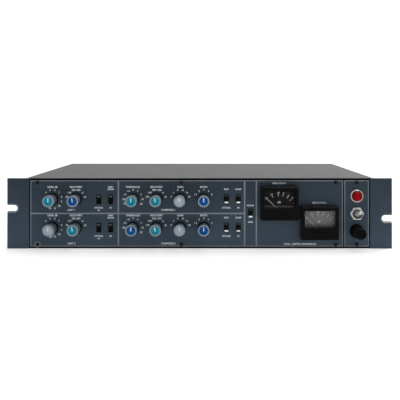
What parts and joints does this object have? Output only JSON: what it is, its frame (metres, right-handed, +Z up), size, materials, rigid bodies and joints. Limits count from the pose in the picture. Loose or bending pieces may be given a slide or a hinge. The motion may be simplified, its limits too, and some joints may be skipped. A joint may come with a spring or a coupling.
{
  "type": "rack compressor",
  "caption": "Two-channel studio compressor and limiter for a 19 inch rack, with turning knobs, rocker switches, needle meters, power switch and fuse.",
  "frame": {"origin": "under the middle of the bounding box, on the surface that the unit's bottom cover rests on", "axes": "+X to the right of someone facing the controls, +Y from the controls to the rear, +Z up"},
  "size_m": [0.4826, 0.2782, 0.0881],
  "materials": {
    "blue_grey_paint": "satin stoving enamel, dark slate blue",
    "grey_paint": "matt grey enamel",
    "zinc_plate": "passivated zinc plate",
    "aluminium": "extruded, black behind the panels",
    "grey_knob_plastic": "satin moulded",
    "black_plastic": "satin moulded",
    "black_gloss_plastic": "polished moulding",
    "dial_card": "matt printed card",
    "clear_acrylic": "polished",
    "needle_paint": "matt white",
    "chrome_plate": "bright",
    "red_lens": "polished transparent red",
    "steel_can": "tinned can",
    "glass": "clear tube",
    "circuit_board": "glass fibre laminate",
    "laminated_iron": "varnished laminations"
  },
  "bodies": {
    "chassis": {"rack_ear_left": "blue_grey_paint", "side_plate_left": "zinc_plate", "rack_ear_right": "blue_grey_paint", "side_plate_right": "zinc_plate", "front_rail_top": "aluminium", "front_rail_bottom": "aluminium", "top_cover": "grey_paint", "bottom_cover": "zinc_plate", "rear_panel": "grey_paint", "control_panel": "blue_grey_paint", "power_panel": "blue_grey_paint", "control_board": "circuit_board", "meter_case_1": "black_gloss_plastic", "meter_dial_1": "dial_card", "meter_window_1": "clear_acrylic", "meter_case_2": "black_gloss_plastic", "meter_dial_2": "dial_card", "meter_window_2": "clear_acrylic", "lamp_bezel": "chrome_plate", "lamp_lens": "red_lens", "power_switch_body": "steel_can", "power_switch_nut": "chrome_plate", "fuse_holder": "black_plastic", "input_socket_1": "black_plastic", "input_socket_2": "black_plastic", "output_plug_1": "black_plastic", "output_plug_2": "black_plastic", "mains_inlet": "black_plastic", "main_board": "circuit_board", "input_transformer_1": "steel_can", "input_transformer_2": "steel_can", "output_transformer_1": "steel_can", "output_transformer_2": "steel_can", "mains_transformer": "laminated_iron"},
    "limit_level_knob_1": {"limit_level_knob_1": "grey_knob_plastic"},
    "limit_level_knob_2": {"limit_level_knob_2": "grey_knob_plastic"},
    "limit_recovery_knob_1": {"limit_recovery_knob_1": "grey_knob_plastic"},
    "limit_recovery_knob_2": {"limit_recovery_knob_2": "grey_knob_plastic"},
    "threshold_knob_1": {"threshold_knob_1": "grey_knob_plastic"},
    "threshold_knob_2": {"threshold_knob_2": "grey_knob_plastic"},
    "recovery_knob_1": {"recovery_knob_1": "grey_knob_plastic"},
    "recovery_knob_2": {"recovery_knob_2": "grey_knob_plastic"},
    "gain_knob_1": {"gain_knob_1": "grey_knob_plastic"},
    "gain_knob_2": {"gain_knob_2": "grey_knob_plastic"},
    "ratio_knob_1": {"ratio_knob_1": "grey_knob_plastic"},
    "ratio_knob_2": {"ratio_knob_2": "grey_knob_plastic"},
    "limit_attack_rocker_1": {"limit_attack_rocker_1": "black_plastic"},
    "limit_in_rocker_1": {"limit_in_rocker_1": "black_plastic"},
    "compress_attack_rocker_1": {"compress_attack_rocker_1": "black_plastic"},
    "compress_in_rocker_1": {"compress_in_rocker_1": "black_plastic"},
    "limit_attack_rocker_2": {"limit_attack_rocker_2": "black_plastic"},
    "limit_in_rocker_2": {"limit_in_rocker_2": "black_plastic"},
    "compress_attack_rocker_2": {"compress_attack_rocker_2": "black_plastic"},
    "compress_in_rocker_2": {"compress_in_rocker_2": "black_plastic"},
    "stereo_link_rocker": {"stereo_link_rocker": "black_plastic"},
    "meter_needle_1": {"meter_needle_1": "needle_paint"},
    "meter_needle_2": {"meter_needle_2": "needle_paint"},
    "power_switch_lever": {"power_switch_lever": "chrome_plate"},
    "fuse_cap": {"fuse_cap": "black_plastic", "fuse_cartridge": "glass"}
  },
  "joints": [
    {"name": "limit_level_turn_1", "type": "hinge", "parent": "chassis", "child": "limit_level_knob_1", "pos_m": [-0.1846, -0.11615, 0.06185], "axis": [0, 1, 0], "range_deg": [-45, 195]},
    {"name": "limit_level_turn_2", "type": "hinge", "parent": "chassis", "child": "limit_level_knob_2", "pos_m": [-0.1846, -0.11615, 0.02625], "axis": [0, 1, 0], "range_deg": [-205, 35]},
    {"name": "limit_recovery_turn_1", "type": "hinge", "parent": "chassis", "child": "limit_recovery_knob_1", "pos_m": [-0.155, -0.11615, 0.06185], "axis": [0, 1, 0], "range_deg": [-67, 83]},
    {"name": "limit_recovery_turn_2", "type": "hinge", "parent": "chassis", "child": "limit_recovery_knob_2", "pos_m": [-0.155, -0.11615, 0.02625], "axis": [0, 1, 0], "range_deg": [-67, 83]},
    {"name": "threshold_turn_1", "type": "hinge", "parent": "chassis", "child": "threshold_knob_1", "pos_m": [-0.0836, -0.11615, 0.06185], "axis": [0, 1, 0], "range_deg": [-12, 228]},
    {"name": "threshold_turn_2", "type": "hinge", "parent": "chassis", "child": "threshold_knob_2", "pos_m": [-0.0836, -0.11615, 0.02625], "axis": [0, 1, 0], "range_deg": [-120, 120]},
    {"name": "recovery_turn_1", "type": "hinge", "parent": "chassis", "child": "recovery_knob_1", "pos_m": [-0.054, -0.11615, 0.06185], "axis": [0, 1, 0], "range_deg": [-67, 83]},
    {"name": "recovery_turn_2", "type": "hinge", "parent": "chassis", "child": "recovery_knob_2", "pos_m": [-0.054, -0.11615, 0.02625], "axis": [0, 1, 0], "range_deg": [-65, 85]},
    {"name": "gain_turn_1", "type": "hinge", "parent": "chassis", "child": "gain_knob_1", "pos_m": [-0.0244, -0.11615, 0.06185], "axis": [0, 1, 0], "range_deg": [-70, 80]},
    {"name": "gain_turn_2", "type": "hinge", "parent": "chassis", "child": "gain_knob_2", "pos_m": [-0.0244, -0.11615, 0.02625], "axis": [0, 1, 0], "range_deg": [-75, 75]},
    {"name": "ratio_turn_1", "type": "hinge", "parent": "chassis", "child": "ratio_knob_1", "pos_m": [0.0052, -0.11615, 0.06185], "axis": [0, 1, 0], "range_deg": [-60, 60]},
    {"name": "ratio_turn_2", "type": "hinge", "parent": "chassis", "child": "ratio_knob_2", "pos_m": [0.0052, -0.11615, 0.02625], "axis": [0, 1, 0], "range_deg": [-60, 60]},
    {"name": "limit_attack_rock_1", "type": "hinge", "parent": "chassis", "child": "limit_attack_rocker_1", "pos_m": [-0.1265, -0.11515, 0.06185], "axis": [1, 0, 0], "range_deg": [-24, 0]},
    {"name": "limit_in_rock_1", "type": "hinge", "parent": "chassis", "child": "limit_in_rocker_1", "pos_m": [-0.1116, -0.11515, 0.06185], "axis": [1, 0, 0], "range_deg": [-24, 0]},
    {"name": "compress_attack_rock_1", "type": "hinge", "parent": "chassis", "child": "compress_attack_rocker_1", "pos_m": [0.0336, -0.11515, 0.06185], "axis": [1, 0, 0], "range_deg": [0, 24]},
    {"name": "compress_in_rock_1", "type": "hinge", "parent": "chassis", "child": "compress_in_rocker_1", "pos_m": [0.0485, -0.11515, 0.06185], "axis": [1, 0, 0], "range_deg": [0, 24]},
    {"name": "limit_attack_rock_2", "type": "hinge", "parent": "chassis", "child": "limit_attack_rocker_2", "pos_m": [-0.1265, -0.11515, 0.02625], "axis": [1, 0, 0], "range_deg": [-24, 0]},
    {"name": "limit_in_rock_2", "type": "hinge", "parent": "chassis", "child": "limit_in_rocker_2", "pos_m": [-0.1116, -0.11515, 0.02625], "axis": [1, 0, 0], "range_deg": [-24, 0]},
    {"name": "compress_attack_rock_2", "type": "hinge", "parent": "chassis", "child": "compress_attack_rocker_2", "pos_m": [0.0336, -0.11515, 0.02625], "axis": [1, 0, 0], "range_deg": [0, 24]},
    {"name": "compress_in_rock_2", "type": "hinge", "parent": "chassis", "child": "compress_in_rocker_2", "pos_m": [0.0485, -0.11515, 0.02625], "axis": [1, 0, 0], "range_deg": [0, 24]},
    {"name": "stereo_link_rock", "type": "hinge", "parent": "chassis", "child": "stereo_link_rocker", "pos_m": [0.0638, -0.11515, 0.04405], "axis": [1, 0, 0], "range_deg": [0, 24]},
    {"name": "meter_swing_1", "type": "hinge", "parent": "chassis", "child": "meter_needle_1", "pos_m": [0.09935, -0.12015, 0.04865], "axis": [0, 1, 0], "range_deg": [0, 94], "stiffness_Nm_per_rad": 0.0004, "springref_deg": -5.73},
    {"name": "meter_swing_2", "type": "hinge", "parent": "chassis", "child": "meter_needle_2", "pos_m": [0.14915, -0.12015, 0.02435], "axis": [0, 1, 0], "range_deg": [0, 94], "stiffness_Nm_per_rad": 0.0004, "springref_deg": -5.73},
    {"name": "power_switch_throw", "type": "hinge", "parent": "chassis", "child": "power_switch_lever", "pos_m": [0.19685, -0.11915, 0.04405], "axis": [1, 0, 0], "range_deg": [0, 24]},
    {"name": "fuse_cap_pull", "type": "slide", "parent": "chassis", "child": "fuse_cap", "axis": [0, -1, 0], "range_m": [0, 0.03]}
  ]
}
